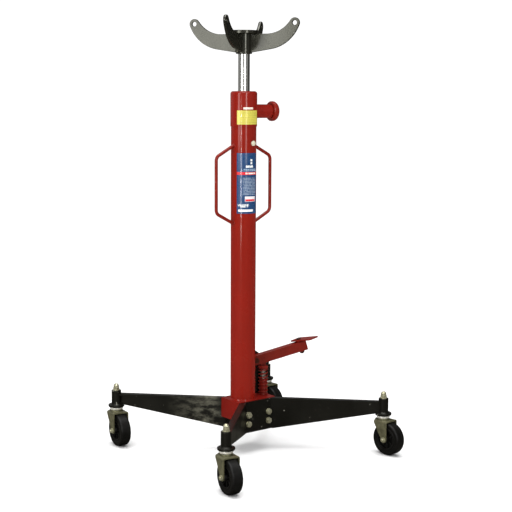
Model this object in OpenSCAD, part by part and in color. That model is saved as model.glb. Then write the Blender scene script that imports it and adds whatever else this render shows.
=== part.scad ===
// Vertical transmission jack: a single-stage hydraulic ram in a steel column,
// on four folded legs with swivel casters, raised by a foot pump and lowered by a release knob.
// Frame: origin on the floor under the ram's axis, +Z up, right leg towards +X, front leg towards -Y.

/* [Column and ram] */
// Outer diameter of the reservoir tube
mast_d = 76; // [70:1:80]
// Wall of the reservoir tube
mast_wall = 3; // [2:0.5:4]
// Height of the collar's top above the floor
collar_top = 1094.5; // [1050:1:1150]
// Height of the collar
collar_h = 104; // [98:1:108]
// Outer diameter of the collar
collar_d = 80; // [78:1:84]
// Diameter of the ram rod
ram_d = 35; // [32:0.5:38]
// Length of ram showing above the collar in the drawn position
ram_out = 109; // [105:1:140]
// Bore of the pressure cylinder
cylinder_bore = 45; // [44:0.5:46]

/* [Base] */
// Height of the base block's top
block_top = 162; // [158:1:166]
// Length of the base block, along the line from the ram to the pump
block_len = 140; // [138:1:144]
// Width of the base block
block_w = 90; // [88:1:94]
// Thickness of the base block
block_h = 60; // [56:1:64]
// Distance from the ram's axis to the middle of the base block
block_shift = 22; // [20:0.5:24]
// Distance from the base block's middle to each caster's swivel axis, along the leg
leg_reach = 414; // [380:1:440]
// Sheet thickness of the legs
leg_t = 6; // [4:0.5:7]
// Width of a leg's top flange
leg_w = 19; // [18:0.5:24]
// Height of the legs' top
leg_top = 161; // [158:1:162]
// Height of a leg's lower edge at the block
leg_low_in = 66; // [64:1:68]
// Height of a leg's lower edge at the caster
leg_low_out = 128; // [124:1:130]

/* [Casters] */
// Wheel diameter
wheel_d = 99; // [94:1:99]
// Tyre width
wheel_w = 34; // [26:1:34]
// Trail from the swivel axis to the axle
caster_trail = 23; // [20:0.5:30]
// Drawn direction of each caster's trail: front, right, back, left
caster_yaw = [-54, -39, -42, -51.5];

/* [Pump] */
// Distance from the ram's axis to the pump's axis
pump_shift = 79; // [78:0.5:80]
// Plunger diameter
plunger_d = 16; // [14:1:18]
// Height of the spring's top
spring_top = 247; // [240:1:250]
// Coil diameter of the return spring, outside
spring_d = 31; // [28:1:32]
// Direction of the pedal lever, from +X
lever_yaw = 15; // [10:1:20]
// Rise of the pedal lever above level
lever_rise = 16; // [12:1:18]
// Length of the pedal lever from its pivot
lever_len = 164; // [150:1:180]
// Depth of the lever's tube
lever_h = 29; // [27:1:30]
// Width of the lever's tube
lever_w = 27; // [25:1:28]

/* [Saddle] */
// Diameter of the saddle's top disc
saddle_d = 86; // [80:1:92]
// Diameter of the saddle's hub
hub_d = 48; // [44:1:50]
// Height of the hub below the disc
hub_h = 58; // [56:1:60]
// Thickness of an arm
arm_t = 8; // [6:1:10]
// Diameter of the hole in an arm's tip
arm_hole_d = 14; // [10:1:16]
// Drawn direction of the first arm, from +X
saddle_yaw = -11.5; // [-45:0.5:45]

/* [Release valve] */
// Height of the release knob's axis
knob_z = 1035.5; // [1030:1:1038]
// Direction of the release knob, from +X
knob_yaw = 40; // [30:1:50]
// Knob diameter
knob_d = 60; // [50:1:64]
// Knob thickness
knob_h = 19; // [16:1:24]

/* [Hidden] */
$fn = 64;
FIT = 0.05;
K = sqrt(0.5);
LEGS = ["front", "right", "back", "left"];

mast_r = mast_d / 2;
collar_r = collar_d / 2;
collar_z = collar_top - collar_h;
ram_r = ram_d / 2;
bore_r = cylinder_bore / 2;
cyl_wall = 5;
cyl_r = bore_r + cyl_wall;
cyl_top = collar_z + 25.5;
hub_z = collar_top + ram_out;
disc_z = hub_z + hub_h;
disc_h = 10;
spigot_r = 12.5;
piston_z = 280;
piston_h = 40;
gland_top = collar_top - 12.5;
seal_r = 21;

plate_out = block_w / 2 + leg_t;
bend_at = 49;
bend_r = 8;
mid = block_shift * K;
web_side = (block_shift - bend_at + plate_out) * K;
near_off = web_side - leg_w / 2;
far_off = 2 * mid - near_off;
bolt_x = 38.5;
bolt_z = [93, 121];
bar_top = block_top - block_h;
bar_low = 71;

SWIVELS = [
    [near_off, mid - leg_reach],
    [mid + leg_reach, far_off],
    [far_off, mid + leg_reach],
    [mid - leg_reach, near_off]
];
stem_r = 6;
sleeve_r = 15;
sleeve_low = 126;
sleeve_top = 171;
flange_h = 7.5;
washer_r = 25;
race_h = 8;
fork_top = 106;
fork_t = 5;
cheek_in = wheel_w / 2 + 5;
cheek_t = 3.5;
axle_z = wheel_d / 2;
axle_r = 4;
hub_rim = 33;

pump_at = [pump_shift * K, pump_shift * K];
barrel_r = 12;
barrel_top = 213;
pin_arm = 22;
pin_r = 4;
pivot_r = 5;
pivot_z = 271.5;
slot_play = 1.4;
bracket_off = spring_d / 2 + 1.5;
bracket_t = 5;

boss_r = 20.5;
boss_end = 93.5;
spindle_r = 6;
rod_at = 31.25;
rod_r = 2.5;

rod_d = 10;
handle_z = [703, 933.5];
handle_bend_z = [735, 901.5];
handle_reach = 101;
handle_bend_r = 18;

arm_out = [67, 122, 110];
arm_in = [71, 144.5, 86.5];
arm_tip = [156, 88.5, 15];
arm_toe = [20, 3.2];
plug_z = 941.5;
plug_yaw = -37;

// Points on an arc, from angle a to angle b.
function arc(centre, r, a, b, n) =
    [for (i = [0 : n]) centre + r * [cos(a + (b - a) * i / n), sin(a + (b - a) * i / n)]];

module ring(r_out, r_in, h) {
    difference() {
        cylinder(r = r_out, h = h);
        translate([0, 0, -1]) cylinder(r = r_in, h = h + 2);
    }
}

module hex(af, h) {
    cylinder(d = af / cos(30), h = h, $fn = 6);
}

// The base block's own frame: X from the ram towards the pump, Y towards the back-left face.
module in_block() {
    rotate([0, 0, 45]) translate([block_shift, 0, 0]) children();
}

module at_swivel(i) {
    translate([SWIVELS[i][0], SWIVELS[i][1], 0]) children();
}

module in_caster(i) {
    at_swivel(i) rotate([0, 0, caster_yaw[i]]) children();
}

// The axle's own frame: Z along the axle.
module on_axle(i) {
    in_caster(i) translate([caster_trail, 0, axle_z]) rotate([90, 0, 0]) children();
}

// The lever's own frame: origin at its pivot, X along the lever, Z square to it.
module in_lever() {
    translate([pump_at[0], pump_at[1], pivot_z]) rotate([0, 0, lever_yaw])
        translate([-pin_arm, 0, 0]) rotate([0, -lever_rise, 0]) children();
}

module in_saddle(i) {
    translate([0, 0, hub_z]) rotate([0, 0, saddle_yaw + 90 * (i - 1)]) children();
}

// The release knob's own frame: Z along the spindle, away from the column.
module in_knob() {
    translate([0, 0, knob_z]) rotate([0, 0, knob_yaw]) rotate([0, 90, 0]) children();
}

// ---- base ----

module leg_bolt_places() {
    for (side = [0, 180], x = [-bolt_x, bolt_x], z = bolt_z)
        rotate([0, 0, side]) translate([x, -plate_out, z]) rotate([90, 0, 0]) children();
}

module base_block() {
    color("firebrick") difference() {
        in_block() translate([-block_len / 2, -block_w / 2, bar_top])
            cube([block_len, block_w, block_h]);
        in_block() leg_bolt_places() translate([0, 0, -32]) cylinder(r = 5 + FIT, h = 33);
        translate([0, 0, block_top - 10]) cylinder(r = cyl_r + FIT, h = 11);
        translate([pump_at[0], pump_at[1], block_top - 25]) cylinder(r = barrel_r + FIT, h = 26);
        translate([pump_at[0], pump_at[1], block_top - 40]) cylinder(r = 4, h = 16);
        translate([0, 0, block_top - 36])
            rotate([0, 0, 45]) rotate([0, 90, 0]) cylinder(r = 3, h = pump_shift);
        translate([0, 0, block_top - 36]) cylinder(r = 5, h = 30);
    }
}

module tie_bar() {
    color("#171614") in_block() difference() {
        translate([-50, -block_w / 2, bar_low]) cube([100, block_w, bar_top - bar_low]);
        leg_bolt_places() translate([0, 0, -32]) cylinder(r = 5 + FIT, h = 33);
    }
}

// Plan of the folded sheet from the middle of the plate out along one leg, between two offsets.
bend_x = bend_at - bend_r * tan(22.5);
bend_c = [bend_x, -plate_out - bend_r];
leg_dir = [K, -K];
leg_side = [K, K];
bend_end = bend_c + bend_r * leg_side;
sleeve_in_block = [(leg_reach + (far_off - mid)) * K, (far_off - mid - leg_reach) * K];
web_len = (sleeve_in_block - bend_end) * leg_dir;

// A plan's right half, closed by its mirror image.
function both(half) =
    concat(half, [for (i = [len(half) - 1 : -1 : 0]) [-half[i][0], half[i][1]]]);

web_tip = bend_end + web_len * leg_dir;

module sheet_plan() {
    polygon(both(concat(
        arc(bend_c, bend_r, 90, 45, 6),
        [web_tip, web_tip + leg_t * leg_side],
        arc(bend_c, bend_r + leg_t, 45, 90, 6)
    )));
}

module flange_plan() {
    inner = bend_end + leg_w * leg_side;
    reach = (inner[1] + block_w / 2) / K;
    polygon(both(concat(
        arc(bend_c, bend_r, 90, 45, 6),
        [web_tip, web_tip + leg_w * leg_side, inner + reach * leg_dir],
        [[bend_x, -block_w / 2]]
    )));
}

// What is cut away below one leg's sloping edge, and round its caster's sleeve.
module leg_relief() {
    slope = (leg_low_out - leg_low_in) / (web_len - 4);
    translate([bend_end[0], bend_end[1], 0]) rotate([0, 0, -45]) rotate([90, 0, 0])
        linear_extrude(80, center = true)
            polygon([[-6, 0], [web_len + 20, 0], [web_len + 20, leg_low_out + 20 * slope],
                [-6, leg_low_in - 10 * slope]]);
    translate([sleeve_in_block[0], sleeve_in_block[1], 0]) {
        cylinder(r = sleeve_r + 0.3, h = 200);
        cylinder(r = washer_r + 0.3, h = sleeve_low + 0.3);
    }
}

module leg_pair(turn) {
    color("#171614") in_block() rotate([0, 0, turn]) difference() {
        union() {
            translate([0, 0, leg_low_in]) linear_extrude(leg_top - leg_low_in) sheet_plan();
            translate([0, 0, leg_top - leg_t]) linear_extrude(leg_t) flange_plan();
        }
        leg_relief();
        mirror([1, 0, 0]) leg_relief();
        for (x = [-bolt_x, bolt_x], z = bolt_z)
            translate([x, 0, z]) rotate([90, 0, 0]) cylinder(r = 5 + FIT, h = plate_out + 5);
    }
}

module leg_bolts() {
    color("silver") in_block() leg_bolt_places() {
        hex(17, 7.5);
        cylinder(r = 9.8, h = 1.5);
        translate([0, 0, -30]) cylinder(r = 5, h = 31);
    }
}

module leg_sleeves() {
    color("#171614") for (i = [0 : 3]) at_swivel(i) difference() {
        union() {
            translate([0, 0, sleeve_low]) cylinder(r = sleeve_r, h = sleeve_top - sleeve_low);
            translate([0, 0, sleeve_low - flange_h]) cylinder(r = washer_r, h = flange_h);
        }
        translate([0, 0, sleeve_low - 20]) cylinder(r = stem_r + FIT, h = 80);
    }
}

module caster_stems() {
    color("silver") for (i = [0 : 3]) at_swivel(i) {
        translate([0, 0, fork_top - fork_t - 2.3]) cylinder(r = 9, h = 2);
        translate([0, 0, fork_top - fork_t - 1]) cylinder(r = stem_r, h = 80);
    }
}

module acorn_nuts() {
    color("silver") for (i = [0 : 3]) at_swivel(i) translate([0, 0, sleeve_top]) difference() {
        union() {
            cylinder(r = 11, h = 2);
            translate([0, 0, 2]) hex(18, 7.5);
            translate([0, 0, 9.5]) intersection() {
                cylinder(r = 8.5, h = 12.5);
                translate([0, 0, 2.5]) sphere(r = 9.5);
            }
        }
        translate([0, 0, -1]) cylinder(r = stem_r + FIT, h = 17);
    }
}

module bearing_races() {
    color("gainsboro") for (i = [0 : 3])
        at_swivel(i) translate([0, 0, sleeve_low - flange_h - race_h]) difference() {
            rotate_extrude() polygon(concat(
                [[0, 0], [18, 0]],
                arc([18, 3], 2, -60, 60, 6),
                [[18, race_h], [0, race_h]]
            ));
            translate([0, 0, -1]) cylinder(r = stem_r + FIT, h = race_h + 2);
        }
}

// ---- column ----

module reservoir_tube() {
    color("firebrick") difference() {
        translate([0, 0, block_top]) ring(mast_r, mast_r - mast_wall, collar_z + 10 - block_top);
        translate([0, 0, plug_z]) rotate([0, 0, plug_yaw]) rotate([0, 90, 0])
            cylinder(r = 4.5 + FIT, h = 60);
    }
}

module pressure_cylinder() {
    color("silver") translate([0, 0, block_top - 10]) ring(cyl_r, bore_r, cyl_top - block_top + 10);
}

module collar() {
    round_r = 8;
    color("firebrick") difference() {
        rotate_extrude() polygon(concat(
            [[seal_r, gland_top], [cyl_r + FIT, gland_top], [cyl_r + FIT, knob_z + 14]],
            [[34.5, knob_z + 14], [34.5, collar_z + 10], [mast_r + FIT, collar_z + 10]],
            [[mast_r + FIT, collar_z], [collar_r, collar_z]],
            arc([collar_r - round_r, collar_top - round_r], round_r, 0, 90, 8),
            [[seal_r, collar_top]]
        ));
        in_knob() translate([0, 0, 30]) cylinder(r = spindle_r + FIT, h = 40);
    }
}

module gland_bush() {
    color("darkgoldenrod") translate([0, 0, cyl_top])
        ring(cyl_r, ram_r + FIT, gland_top - cyl_top);
}

module wiper_seal() {
    color("black") translate([0, 0, gland_top]) ring(seal_r, ram_r + FIT, 10.5);
}

module knob_boss() {
    color("firebrick") difference() {
        in_knob() cylinder(r = boss_r, h = boss_end - 0.4);
        translate([0, 0, knob_z - 40]) cylinder(r = collar_r, h = 80, $fn = 128);
        in_knob() translate([0, 0, 30]) cylinder(r = spindle_r + FIT, h = 80);
    }
}

module handle_rod() {
    rise = atan2(handle_z[1] - handle_bend_z[1], handle_reach - mast_r);
    turn = 90 - rise;
    bend = handle_bend_r * tan(turn / 2);
    slope = norm([handle_reach - mast_r, handle_z[1] - handle_bend_z[1]]);
    half = (handle_bend_z[1] - handle_bend_z[0]) / 2;
    lap = 1;
    r = rod_d / 2;
    translate([handle_reach, 0, (handle_bend_z[0] + handle_bend_z[1]) / 2])
        for (flip = [0, 1]) mirror([0, 0, flip]) {
            cylinder(r = r, h = half - bend + lap);
            translate([-handle_bend_r, 0, half - bend]) rotate([90, 0, 0])
                rotate_extrude(angle = turn) translate([handle_bend_r, 0]) circle(r = r + 0.15);
            translate([0, 0, half]) rotate([0, -turn, 0])
                translate([0, 0, bend - lap]) cylinder(r = r, h = slope - bend + lap + 12);
        }
}

module carry_handle(turn) {
    color("firebrick") difference() {
        rotate([0, 0, turn]) handle_rod();
        translate([0, 0, 600]) cylinder(r = mast_r, h = 420, $fn = 128);
    }
}

module filler_plug() {
    color("ivory") translate([0, 0, plug_z]) rotate([0, 0, plug_yaw]) rotate([0, 90, 0]) {
        translate([0, 0, mast_r - 5]) cylinder(r = 4.5, h = 7);
        translate([0, 0, mast_r + 0.8]) cylinder(r = 7.5, h = 4.5);
        translate([0, 0, mast_r + 5.2]) cylinder(r = 4, h = 2);
    }
}

// A thin sheet wrapped round a tube of radius r, between two directions.
module wrap(r, low, high, from, to) {
    translate([0, 0, low]) rotate([0, 0, from]) rotate_extrude(angle = to - from)
        translate([r, 0]) square([0.4, high - low]);
}

module collar_label() {
    color("khaki") wrap(collar_r, 997, 1038, -112, -7);
    color("ivory") wrap(collar_r, 1041, 1047, -84, -40);
}

module mast_label() {
    color("steelblue") wrap(mast_r, 733, 913, -114, -6);
}

// ---- pump ----

module at_pump(z) {
    translate([pump_at[0], pump_at[1], z]) children();
}

module pump_barrel() {
    color("firebrick") difference() {
        at_pump(block_top - 25) cylinder(r = barrel_r, h = barrel_top - block_top + 25);
        at_pump(block_top - 18) cylinder(r = plunger_d / 2 + FIT, h = 80);
        at_pump(block_top - 30) cylinder(r = 3, h = 20);
    }
}

module pump_spring() {
    color("firebrick") at_pump(block_top) ring(spring_d / 2, spring_d / 2 - 3, spring_top - block_top);
}

module check_ball() {
    color("silver") at_pump(block_top - 29.5) sphere(r = 3.8);
}

// An upright plate behind the pump that carries the lever's pivot pin.
module pedal_bracket() {
    color("#171614") at_pump(0) rotate([0, 0, lever_yaw]) difference() {
        union() {
            translate([0, bracket_off + bracket_t, 0]) rotate([90, 0, 0])
                linear_extrude(bracket_t) difference() {
                    polygon(concat(
                        [[-38, block_top], [-10, block_top], [-4, 220], [18, 228]],
                        arc([12, 262], 8, 0, 90, 4),
                        arc([-24, 284], 12, 60, 180, 8)
                    ));
                    translate([-pin_arm, pivot_z]) circle(r = pivot_r);
                }
            translate([-38, bracket_off + bracket_t, block_top]) cube([28, 10, 5]);
        }
    }
}

module pivot_pin() {
    color("silver") at_pump(pivot_z) rotate([0, 0, lever_yaw]) translate([-pin_arm, 0, 0])
        rotate([-90, 0, 0]) {
            translate([0, 0, -lever_w / 2 - 1]) cylinder(r = pivot_r, h = 21 + lever_w / 2 + 4);
            translate([0, 0, -lever_w / 2 - 4]) cylinder(r = 8, h = 3.2);
            translate([0, 0, bracket_off + bracket_t]) cylinder(r = 7.5, h = 4);
        }
}

module pump_plunger() {
    color("silver") at_pump(block_top - 5) cylinder(r = plunger_d / 2, h = spring_top - block_top + 5);
}

// Spring retainer with a tongue that reaches up inside the lever.
module plunger_cap() {
    tongue_top = pivot_z + 13;
    pin_z = pivot_z + pin_arm * tan(lever_rise);
    color("firebrick") at_pump(0) rotate([0, 0, lever_yaw]) difference() {
        union() {
            translate([0, 0, spring_top]) cylinder(r = spring_d / 2, h = 7);
            translate([-8, -6, spring_top + 6]) cube([16, 12, tongue_top - spring_top - 6]);
        }
        translate([0, 0, pin_z]) rotate([90, 0, 0]) linear_extrude(40, center = true) union() {
            translate([-slot_play, 0]) circle(r = pin_r + 0.25);
            translate([slot_play, 0]) circle(r = pin_r + 0.25);
            square([2 * slot_play, 2 * pin_r + 0.5], center = true);
        }
    }
}

module pedal_lever() {
    wall = 3;
    pin_x = pin_arm / cos(lever_rise);
    color("firebrick") in_lever() difference() {
        union() {
            translate([0, -lever_w / 2, -lever_h / 2]) cube([lever_len, lever_w, lever_h]);
            rotate([90, 0, 0]) cylinder(r = lever_h / 2, h = lever_w, center = true);
        }
        translate([-20, -lever_w / 2 + wall, -lever_h / 2 + wall])
            cube([lever_len + 16, lever_w - 2 * wall, lever_h - 2 * wall]);
        translate([-20, -lever_w / 2 + wall, -lever_h / 2 - 1])
            cube([pin_x + 20 + 16, lever_w - 2 * wall, 12]);
        rotate([90, 0, 0]) cylinder(r = pivot_r + FIT, h = 60, center = true);
        translate([pin_x, 0, 0]) rotate([90, 0, 0]) cylinder(r = pin_r, h = 60, center = true);
        translate([plate_bolt_x, 0, 0]) cylinder(r = 4 + FIT, h = 60, center = true);
    }
}

module plunger_pin() {
    color("silver") in_lever() translate([pin_arm / cos(lever_rise), 0, 0]) rotate([90, 0, 0])
        cylinder(r = pin_r, h = lever_w + 3, center = true);
}

plate_bolt_x = 145;
plate_len = 76;
plate_w = 49;
plate_t = 4;
plate_turn = -44;
plate_lift = 1.5;
plate_mid = 17;

// Foot plate, turned on its bolt and a little flatter than the lever.
module pedal_plate() {
    color("firebrick") in_lever() difference() {
        union() {
            translate([plate_bolt_x + plate_mid, 0, lever_h / 2 + plate_lift])
                rotate([0, 5.6, 0]) rotate([-5.1, 0, 0]) rotate([0, 0, plate_turn])
                linear_extrude(plate_t) union() {
                    square([plate_len - 12, plate_w], center = true);
                    square([plate_len, plate_w - 12], center = true);
                    for (x = [-1, 1], y = [-1, 1])
                        translate([x * (plate_len / 2 - 6), y * (plate_w / 2 - 6)]) circle(r = 6);
                }
            translate([plate_bolt_x, 0, lever_h / 2]) cylinder(r = 10, h = plate_lift + 3.6);
        }
        translate([plate_bolt_x, 0, 0]) cylinder(r = 4 + FIT, h = 60);
    }
}

module pedal_bolt() {
    color("silver") in_lever() translate([plate_bolt_x, 0, 0]) {
        translate([0, 0, -lever_h / 2 - 9]) cylinder(r = 4, h = lever_h + 18 + plate_lift);
        translate([0, 0, -lever_h / 2 - 6.5]) hex(13, 6.5);
        translate([0, 0, lever_h / 2 + plate_lift + 6.8]) cylinder(r = 7, h = 3);
    }
}

// ---- ram and saddle ----

module ram_rod() {
    color("gainsboro") union() {
        translate([0, 0, piston_z + piston_h]) cylinder(r = ram_r, h = hub_z - 0.2 - piston_z - piston_h);
        translate([0, 0, piston_z]) cylinder(r = 12, h = piston_h + 1);
        translate([0, 0, hub_z - 1]) cylinder(r = spigot_r, h = 6);
        translate([0, 0, hub_z + 4]) cylinder(r = 10.5, h = 9);
        translate([0, 0, hub_z + 12]) cylinder(r = spigot_r, h = hub_h - 15);
    }
}

module piston_head() {
    color("silver") translate([0, 0, piston_z]) difference() {
        ring(bore_r - FIT, 12, piston_h);
        translate([0, 0, 14]) ring(bore_r + 1, 18, 12);
    }
}

module piston_seal() {
    color("black") translate([0, 0, piston_z + 14]) ring(bore_r - FIT, 18, 12);
}

module saddle_hub() {
    color("#171614") difference() {
        translate([0, 0, hub_z]) cylinder(r = hub_d / 2, h = hub_h);
        translate([0, 0, hub_z - 1]) cylinder(r = spigot_r + FIT, h = hub_h - 1);
        hub_screw_place() cylinder(r = 3, h = 40);
    }
}

module hub_screw_place() {
    translate([0, 0, hub_z + 8]) rotate([0, 0, saddle_yaw - 122]) rotate([0, 90, 0]) children();
}

module hub_set_screw() {
    color("silver") hub_screw_place() difference() {
        translate([0, 0, 11]) cylinder(r = 3, h = hub_d / 2 - 9.5);
        translate([0, 0, hub_d / 2 - 1]) hex(3, 5);
    }
}

module saddle_disc() {
    color("#171614") translate([0, 0, disc_z]) rotate_extrude() polygon(concat(
        [[0, 0], [saddle_d / 2, 0]],
        arc([saddle_d / 2 - 2, disc_h - 2], 2, 0, 90, 4),
        [[0, disc_h]]
    ));
}

// A curved strap of an arm, from the hub's wall up to its round tip.
module saddle_arm(i) {
    out_c = [arm_out[0], arm_out[1]];
    in_c = [arm_in[0], arm_in[1]];
    tip_c = [arm_tip[0], arm_tip[1]];
    out_end = atan2(tip_c[1] - out_c[1], tip_c[0] - out_c[0]);
    in_start = atan2(tip_c[1] - in_c[1], tip_c[0] - in_c[0]);
    toe = arm_toe - out_c;
    out_start = atan2(toe[1], toe[0]) + acos(arm_out[2] / norm(toe));
    color("#171614") difference() {
        in_saddle(i) rotate([90, 0, 0]) linear_extrude(arm_t, center = true) difference() {
            polygon(concat(
                [arm_toe],
                arc(out_c, arm_out[2], out_start, out_end, 24),
                arc(tip_c, arm_tip[2], out_end, in_start + 180, 16),
                arc(in_c, arm_in[2], in_start, -90, 20),
                [[arm_toe[0], hub_h]]
            ));
            translate(tip_c) circle(d = arm_hole_d);
        }
        translate([0, 0, hub_z - 5]) cylinder(r = hub_d / 2 + 0.3, h = hub_h + 6);
    }
}

// ---- release valve ----

module release_knob() {
    color("firebrick") in_knob() difference() {
        rotate_extrude() polygon(concat(
            [[0, boss_end], [knob_d / 2 - 5, boss_end]],
            arc([knob_d / 2 - 4, boss_end + 4], 4, -90, 0, 6),
            arc([knob_d / 2 - 7, boss_end + knob_h - 7], 7, 0, 90, 8),
            [[0, boss_end + knob_h]]
        ));
        translate([0, 0, boss_end - 1]) cylinder(r = spindle_r, h = 12);
    }
}

// Spindle with an eccentric tip that pushes the release rod down.
module release_spindle() {
    color("silver") in_knob() {
        translate([0, 0, 34.5]) cylinder(r = spindle_r, h = boss_end + 11 - 34.5);
        translate([-2.8, 0, 28.8]) cylinder(r = 3, h = 7);
    }
}

module release_rod() {
    color("silver") rotate([0, 0, knob_yaw]) translate([rod_at, 0, block_top + 4])
        cylinder(r = rod_r, h = knob_z - 1.4 - block_top - 4);
}

// ---- casters ----

module caster_fork(i) {
    side = cheek_in + cheek_t;
    front = caster_trail + 9.5;
    color("darkkhaki") in_caster(i) difference() {
        union() {
            translate([0, 0, fork_top - fork_t]) linear_extrude(fork_t) union() {
                circle(r = side);
                translate([0, -side]) square([front, 2 * side]);
            }
            translate([0, 0, fork_top]) cylinder(r = 19.5, h = 4);
            for (y = [-side, cheek_in]) translate([0, y + cheek_t, 0]) rotate([90, 0, 0])
                linear_extrude(cheek_t) polygon(concat(
                    [[-16, fork_top], [-16, fork_top - 8]],
                    arc([caster_trail, axle_z], 9.5, 205, 360, 12),
                    [[front, fork_top]]
                ));
        }
        translate([0, 0, 80]) cylinder(r = stem_r + FIT, h = 60);
        translate([caster_trail, 0, axle_z]) rotate([90, 0, 0]) cylinder(r = axle_r, h = 80, center = true);
    }
}

module caster_axle(i) {
    side = cheek_in + cheek_t;
    color("silver") on_axle(i) {
        cylinder(r = axle_r, h = 2 * side + 16, center = true);
        translate([0, 0, side]) hex(13, 5.5);
        translate([0, 0, -side - 6.5]) hex(13, 6.5);
    }
}

module tyre(i) {
    round_r = 6;
    color("#1a1a1a") on_axle(i) rotate_extrude($fn = 96) polygon(concat(
        [[hub_rim, -wheel_w / 2]],
        arc([wheel_d / 2 - round_r, -wheel_w / 2 + round_r], round_r, -90, 0, 8),
        arc([wheel_d / 2 - round_r, wheel_w / 2 - round_r], round_r, 0, 90, 8),
        [[hub_rim, wheel_w / 2]]
    ));
}

module wheel_hub(i) {
    half = wheel_w / 2 - 1;
    boss = cheek_in - 1;
    color("#232320") on_axle(i) rotate_extrude() polygon([
        [axle_r + FIT, -boss], [10, -boss], [11, -5], [27, -5], [28, -half + 2],
        [hub_rim, -half + 2], [hub_rim, half - 2], [28, half - 2], [27, 5], [11, 5],
        [10, boss], [axle_r + FIT, boss]
    ]);
}

base_block();
tie_bar();
leg_pair(0);  // leg_pair_front
leg_pair(180);  // leg_pair_back
leg_bolts();
leg_sleeves();
caster_stems();
acorn_nuts();
bearing_races();
reservoir_tube();
pressure_cylinder();
collar();
gland_bush();
wiper_seal();
knob_boss();
carry_handle(225);  // carry_handle_front
carry_handle(45);  // carry_handle_rear
filler_plug();
collar_label();
mast_label();
pump_barrel();
pump_spring();
pedal_bracket();
pivot_pin();
check_ball();
ram_rod();
piston_head();
piston_seal();
saddle_hub();
saddle_disc();
saddle_arm(1);  // saddle_arm_1
saddle_arm(2);  // saddle_arm_2
saddle_arm(3);  // saddle_arm_3
saddle_arm(4);  // saddle_arm_4
hub_set_screw();
release_knob();
release_spindle();
release_rod();
pedal_lever();
pedal_plate();
pedal_bolt();
plunger_pin();
pump_plunger();
plunger_cap();
caster_fork(0);  // caster_fork_front
caster_fork(1);  // caster_fork_right
caster_fork(2);  // caster_fork_back
caster_fork(3);  // caster_fork_left
caster_axle(0);  // caster_axle_front
caster_axle(1);  // caster_axle_right
caster_axle(2);  // caster_axle_back
caster_axle(3);  // caster_axle_left
tyre(0);  // tyre_front
tyre(1);  // tyre_right
tyre(2);  // tyre_back
tyre(3);  // tyre_left
wheel_hub(0);  // wheel_hub_front
wheel_hub(1);  // wheel_hub_right
wheel_hub(2);  // wheel_hub_back
wheel_hub(3);  // wheel_hub_left
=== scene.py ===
import math

import bpy
from mathutils import Matrix, Vector
from mathutils.geometry import tessellate_polygon


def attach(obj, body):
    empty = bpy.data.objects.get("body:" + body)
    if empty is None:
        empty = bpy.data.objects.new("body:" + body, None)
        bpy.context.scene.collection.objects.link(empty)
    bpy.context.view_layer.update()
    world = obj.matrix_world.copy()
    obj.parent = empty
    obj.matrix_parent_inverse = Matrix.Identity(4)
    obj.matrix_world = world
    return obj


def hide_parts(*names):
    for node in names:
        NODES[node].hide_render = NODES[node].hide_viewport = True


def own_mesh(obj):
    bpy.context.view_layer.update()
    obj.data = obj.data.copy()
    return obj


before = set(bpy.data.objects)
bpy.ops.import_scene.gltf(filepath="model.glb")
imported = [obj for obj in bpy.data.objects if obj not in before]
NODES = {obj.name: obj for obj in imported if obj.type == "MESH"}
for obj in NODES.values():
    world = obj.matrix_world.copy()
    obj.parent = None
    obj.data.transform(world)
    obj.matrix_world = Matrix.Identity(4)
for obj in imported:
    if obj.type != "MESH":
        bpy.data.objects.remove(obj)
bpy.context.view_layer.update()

MM = 0.001
TAU = 2 * math.pi
SIDES = ("front", "right", "back", "left")

# ---------------------------------------------------------------- sizes, in millimetres

FIT = 0.05
MAST_R, MAST_WALL = 38.0, 3.0
BLOCK_SHIFT, BLOCK_TOP = 22.0, 162.0
COLLAR_LOW, COLLAR_TOP, COLLAR_R = 990.5, 1094.5, 40.0
COLLAR_LIP, GLAND_TOP, SEAL_R = 10.0, 1082.0, 21.0
HUB_Z, HUB_H, HUB_R = 1203.5, 58.0, 24.0
DISC_R, DISC_H = 43.0, 10.0
ARM_T, ARM_EYE, ARM_TIP_R = 8.0, (156.0, 88.5), 14.95
RAM_R, RAM_LOW, SPIGOT_R = 17.5, 280.0, 12.5
SADDLE_YAW = -11.5
KNOB_Z, KNOB_YAW = 1035.5, 40.0
BOSS_R, BOSS_END, SPINDLE_R = 20.5, 93.5, 6.0
PLUG_Z, PLUG_YAW = 941.5, -37.0
HANDLE_R, HANDLE_REACH, HANDLE_LOW, HANDLE_TOP = 5.0, 101.0, 703.0, 933.5
BLOCK_YAW, PUMP_SHIFT = 45.0, 79.0
BARREL_R, BARREL_TOP, PLUNGER_R = 12.0, 213.0, 8.0
SPRING_TOP, SPRING_R, SPRING_TURNS, WIRE_R = 247.0, 13.8, 9.0, 1.7
LEG_REACH, LEG_W, BEND_AT = 414.0, 19.0, 49.0
BOLT_X, BOLT_ROWS, BOLT_FACE = 38.5, (93, 121), 51.0
SLEEVE_R, SLEEVE_LOW, SLEEVE_TOP, WASHER_R = 15.0, 118.5, 171.0, 25.0
STEM_R, RACE_R, RACE_LOW = 6.0, 20.0, 110.5
TRAIL, AXLE_Z, AXLE_R, EYE_R = 23.0, 49.5, 4.0, 9.5
WHEEL_R, WHEEL_W, HUB_RIM = 49.5, 34.0, 33.0
FORK_TOP, CHEEK_IN, CHEEK_T, FORK_TAIL = 106.0, 22.0, 3.5, 16.0
FORK_SIDE, FORK_FRONT = CHEEK_IN + CHEEK_T, TRAIL + EYE_R
CASTER_YAW = {"front": -54.0, "right": -39.0, "back": -42.0, "left": -51.5}
PUMP = (PUMP_SHIFT * math.sqrt(0.5), PUMP_SHIFT * math.sqrt(0.5))
MID = BLOCK_SHIFT * math.sqrt(0.5)
NEAR = (BLOCK_SHIFT - BEND_AT + BOLT_FACE) * math.sqrt(0.5) - LEG_W / 2
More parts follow.
